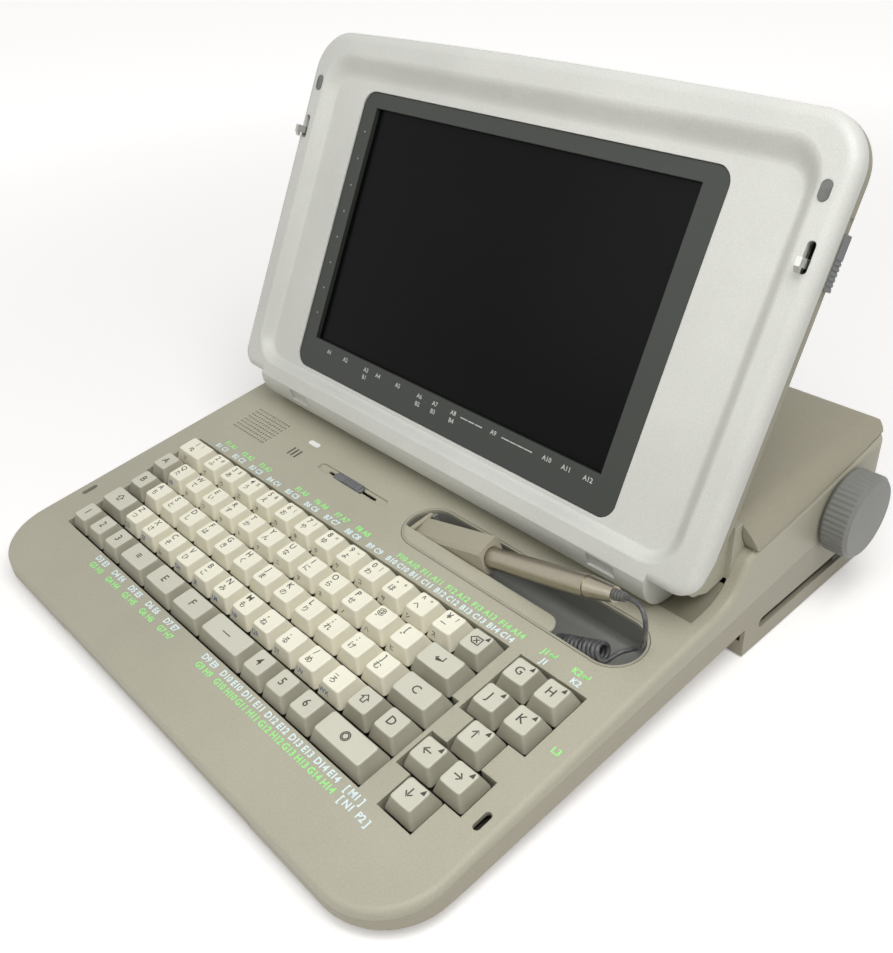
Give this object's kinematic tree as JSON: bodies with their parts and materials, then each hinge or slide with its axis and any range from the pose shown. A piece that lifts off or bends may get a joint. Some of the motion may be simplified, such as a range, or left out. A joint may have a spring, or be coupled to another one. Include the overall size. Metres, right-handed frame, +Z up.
{
  "type": "electronic word processor",
  "caption": "Portable word processor with a wedge keyboard base, a folding screen lid, a corded stylus in a fold-down holder and a printer block behind with a platen knob",
  "frame": {"origin": "on the surface that it stands on, under the middle of its outer box", "axes": "+X to the user's right, along the width; +Y to the rear; +Z up"},
  "size_m": [0.379, 0.362, 0.2566],
  "materials": {
    "case_beige": "fine moulded texture, warm grey beige",
    "lid_grey": "satin light grey",
    "lid_back_beige": "fine moulded texture, darker beige",
    "dark_plastic": "matt dark grey green",
    "screen_glass": "dark screen, slightly glossy",
    "key_ivory": "ivory key plastic",
    "key_grey": "grey key plastic",
    "knob_grey": "grey moulded plastic",
    "rubber_black": "matt rubber",
    "steel": "plain steel",
    "pen_metal": "champagne metallic",
    "cord_grey": "soft dark grey sleeve",
    "board_green": "circuit board",
    "membrane_black": "rubber dome sheet",
    "lamp_clear": "translucent lens"
  },
  "bodies": {
    "base": {"lower_case": "case_beige", "upper_case": "case_beige", "rubber_feet": "rubber_black", "case_screws": "steel", "hinge_spine": "lid_back_beige", "hinge_pins": "steel", "keyboard_plate": "dark_plastic", "key_membrane": "membrane_black", "main_board": "board_green", "power_supply": "steel", "power_inlet": "dark_plastic", "printer_frame": "dark_plastic", "carriage_rail": "steel", "floppy_drive": "dark_plastic", "speaker": "dark_plastic", "lamp_window": "lamp_clear", "pen_tray": "knob_grey", "cord_cover": "case_beige", "pen_coil": "cord_grey"},
    "pen_holder": {"pen_holder": "case_beige", "pen": "pen_metal", "pen_relief": "cord_grey", "pen_cord": "cord_grey"},
    "lid": {"screen_bezel": "lid_grey", "lid_back": "lid_back_beige", "screen_frame": "dark_plastic", "lcd_panel": "screen_glass", "lid_bumpers": "rubber_black"},
    "latch": {"latch_hooks": "knob_grey", "release_slider": "knob_grey"},
    "cover": {"printer_cover": "case_beige"},
    "platen": {"platen_roller": "rubber_black", "platen_knob": "knob_grey"},
    "head": {"print_head": "dark_plastic"},
    "handle": {"carry_handle": "case_beige"},
    "switch": {"power_switch": "dark_plastic"},
    "flap": {"drive_flap": "dark_plastic"},
    "eject": {"eject_button": "knob_grey"},
    "contrast": {"contrast_slider": "dark_plastic"},
    "keys_number_row": {"keys_number_row": "key_ivory"},
    "key_backspace": {"key_backspace": "key_grey"},
    "keys_side": {"keys_side": "key_grey"},
    "keys_upper_row": {"keys_upper_row": "key_ivory"},
    "key_enter": {"key_enter": "key_grey"},
    "keys_home_row": {"keys_home_row": "key_ivory"},
    "keys_mode": {"keys_mode": "key_grey"},
    "key_left_shift": {"key_left_shift": "key_grey"},
    "keys_lower_row": {"keys_lower_row": "key_ivory"},
    "key_right_shift": {"key_right_shift": "key_grey"},
    "keys_function": {"keys_function": "key_grey"},
    "key_menu": {"key_menu": "key_grey"},
    "keys_convert": {"keys_convert": "key_grey"},
    "key_space": {"key_space": "key_grey"},
    "key_execute": {"key_execute": "key_grey"},
    "keys_edit": {"keys_edit": "key_grey"},
    "key_up": {"key_up": "key_grey"},
    "key_left": {"key_left": "key_grey"},
    "key_right": {"key_right": "key_grey"},
    "key_down": {"key_down": "key_grey"}
  },
  "joints": [
    {"name": "lid_hinge", "type": "hinge", "parent": "base", "child": "lid", "pos_m": [-0.008, 0.02598, 0.06327], "axis": [1, 0, 0], "range_deg": [0, 124]},
    {"name": "pen_holder_hinge", "type": "hinge", "parent": "base", "child": "pen_holder", "pos_m": [0.0059, -0.00926, 0.03516], "axis": [0, 0.9925, 0.1219], "range_deg": [0, 17.2], "deforming": ["pen_cord"]},
    {"name": "latch_slide", "type": "slide", "parent": "lid", "child": "latch", "axis": [0, 0.454, 0.891], "range_m": [0, 0.004], "stiffness_N_per_m": 300, "springref_m": -0.002},
    {"name": "cover_hinge", "type": "hinge", "parent": "base", "child": "cover", "pos_m": [-0.008, 0.1797, 0.0765], "axis": [-1, 0, 0], "range_deg": [0, 75]},
    {"name": "platen_turn", "type": "hinge", "parent": "base", "child": "platen", "pos_m": [-0.008, 0.136, 0.052], "axis": [1, 0, 0], "continuous": true},
    {"name": "carriage_slide", "type": "slide", "parent": "base", "child": "head", "axis": [1, 0, 0], "range_m": [0, 0.216]},
    {"name": "handle_slide", "type": "slide", "parent": "base", "child": "handle", "axis": [0, -1, 0], "range_m": [0, 0.02]},
    {"name": "power_rocker", "type": "hinge", "parent": "base", "child": "switch", "pos_m": [-0.158, 0.1774, 0.022], "axis": [-1, 0, 0], "range_deg": [0, 8]},
    {"name": "drive_flap_hinge", "type": "hinge", "parent": "base", "child": "flap", "pos_m": [0.17, 0.116, 0.017], "axis": [0, 1, 0], "range_deg": [0, 80], "stiffness_Nm_per_rad": 0.0008, "springref_deg": -17.19},
    {"name": "eject_press", "type": "slide", "parent": "base", "child": "eject", "axis": [-1, 0, 0], "range_m": [0, 0.0025], "stiffness_N_per_m": 150, "springref_m": -0.001},
    {"name": "contrast_slide", "type": "slide", "parent": "base", "child": "contrast", "axis": [1, 0, 0], "range_m": [-0.014, 0.014]},
    {"name": "press_number_row", "type": "slide", "parent": "base", "child": "keys_number_row", "axis": [0, 0.1219, -0.9925], "range_m": [0, 0.003], "stiffness_N_per_m": 445, "springref_m": -0.002},
    {"name": "press_backspace", "type": "slide", "parent": "base", "child": "key_backspace", "axis": [0, 0.1219, -0.9925], "range_m": [0, 0.003], "stiffness_N_per_m": 145, "springref_m": -0.002},
    {"name": "press_side", "type": "slide", "parent": "base", "child": "keys_side", "axis": [0, 0.1219, -0.9925], "range_m": [0, 0.003], "stiffness_N_per_m": 170, "springref_m": -0.002},
    {"name": "press_upper_row", "type": "slide", "parent": "base", "child": "keys_upper_row", "axis": [0, 0.1219, -0.9925], "range_m": [0, 0.003], "stiffness_N_per_m": 420, "springref_m": -0.002},
    {"name": "press_enter", "type": "slide", "parent": "base", "child": "key_enter", "axis": [0, 0.1219, -0.9925], "range_m": [0, 0.003], "stiffness_N_per_m": 145, "springref_m": -0.002},
    {"name": "press_home_row", "type": "slide", "parent": "base", "child": "keys_home_row", "axis": [0, 0.1219, -0.9925], "range_m": [0, 0.003], "stiffness_N_per_m": 420, "springref_m": -0.002},
    {"name": "press_mode", "type": "slide", "parent": "base", "child": "keys_mode", "axis": [0, 0.1219, -0.9925], "range_m": [0, 0.003], "stiffness_N_per_m": 170, "springref_m": -0.002},
    {"name": "press_left_shift", "type": "slide", "parent": "base", "child": "key_left_shift", "axis": [0, 0.1219, -0.9925], "range_m": [0, 0.003], "stiffness_N_per_m": 145, "springref_m": -0.002},
    {"name": "press_lower_row", "type": "slide", "parent": "base", "child": "keys_lower_row", "axis": [0, 0.1219, -0.9925], "range_m": [0, 0.003], "stiffness_N_per_m": 395, "springref_m": -0.002},
    {"name": "press_right_shift", "type": "slide", "parent": "base", "child": "key_right_shift", "axis": [0, 0.1219, -0.9925], "range_m": [0, 0.003], "stiffness_N_per_m": 145, "springref_m": -0.002},
    {"name": "press_function", "type": "slide", "parent": "base", "child": "keys_function", "axis": [0, 0.1219, -0.9925], "range_m": [0, 0.003], "stiffness_N_per_m": 270, "springref_m": -0.002},
    {"name": "press_menu", "type": "slide", "parent": "base", "child": "key_menu", "axis": [0, 0.1219, -0.9925], "range_m": [0, 0.003], "stiffness_N_per_m": 145, "springref_m": -0.002},
    {"name": "press_convert", "type": "slide", "parent": "base", "child": "keys_convert", "axis": [0, 0.1219, -0.9925], "range_m": [0, 0.003], "stiffness_N_per_m": 170, "springref_m": -0.002},
    {"name": "press_space", "type": "slide", "parent": "base", "child": "key_space", "axis": [0, 0.1219, -0.9925], "range_m": [0, 0.003], "stiffness_N_per_m": 145, "springref_m": -0.002},
    {"name": "press_execute", "type": "slide", "parent": "base", "child": "key_execute", "axis": [0, 0.1219, -0.9925], "range_m": [0, 0.003], "stiffness_N_per_m": 145, "springref_m": -0.002},
    {"name": "press_edit", "type": "slide", "parent": "base", "child": "keys_edit", "axis": [0, 0.1219, -0.9925], "range_m": [0, 0.003], "stiffness_N_per_m": 220, "springref_m": -0.002},
    {"name": "press_up", "type": "slide", "parent": "base", "child": "key_up", "axis": [0, 0.1219, -0.9925], "range_m": [0, 0.003], "stiffness_N_per_m": 145, "springref_m": -0.002},
    {"name": "press_left", "type": "slide", "parent": "base", "child": "key_left", "axis": [0, 0.1219, -0.9925], "range_m": [0, 0.003], "stiffness_N_per_m": 145, "springref_m": -0.002},
    {"name": "press_right", "type": "slide", "parent": "base", "child": "key_right", "axis": [0, 0.1219, -0.9925], "range_m": [0, 0.003], "stiffness_N_per_m": 145, "springref_m": -0.002},
    {"name": "press_down", "type": "slide", "parent": "base", "child": "key_down", "axis": [0, 0.1219, -0.9925], "range_m": [0, 0.003], "stiffness_N_per_m": 145, "springref_m": -0.002}
  ],
  "couplings": [
    {"joint": "pen_holder_hinge", "follows": "lid_hinge", "ratio": 0.13871}
  ]
}
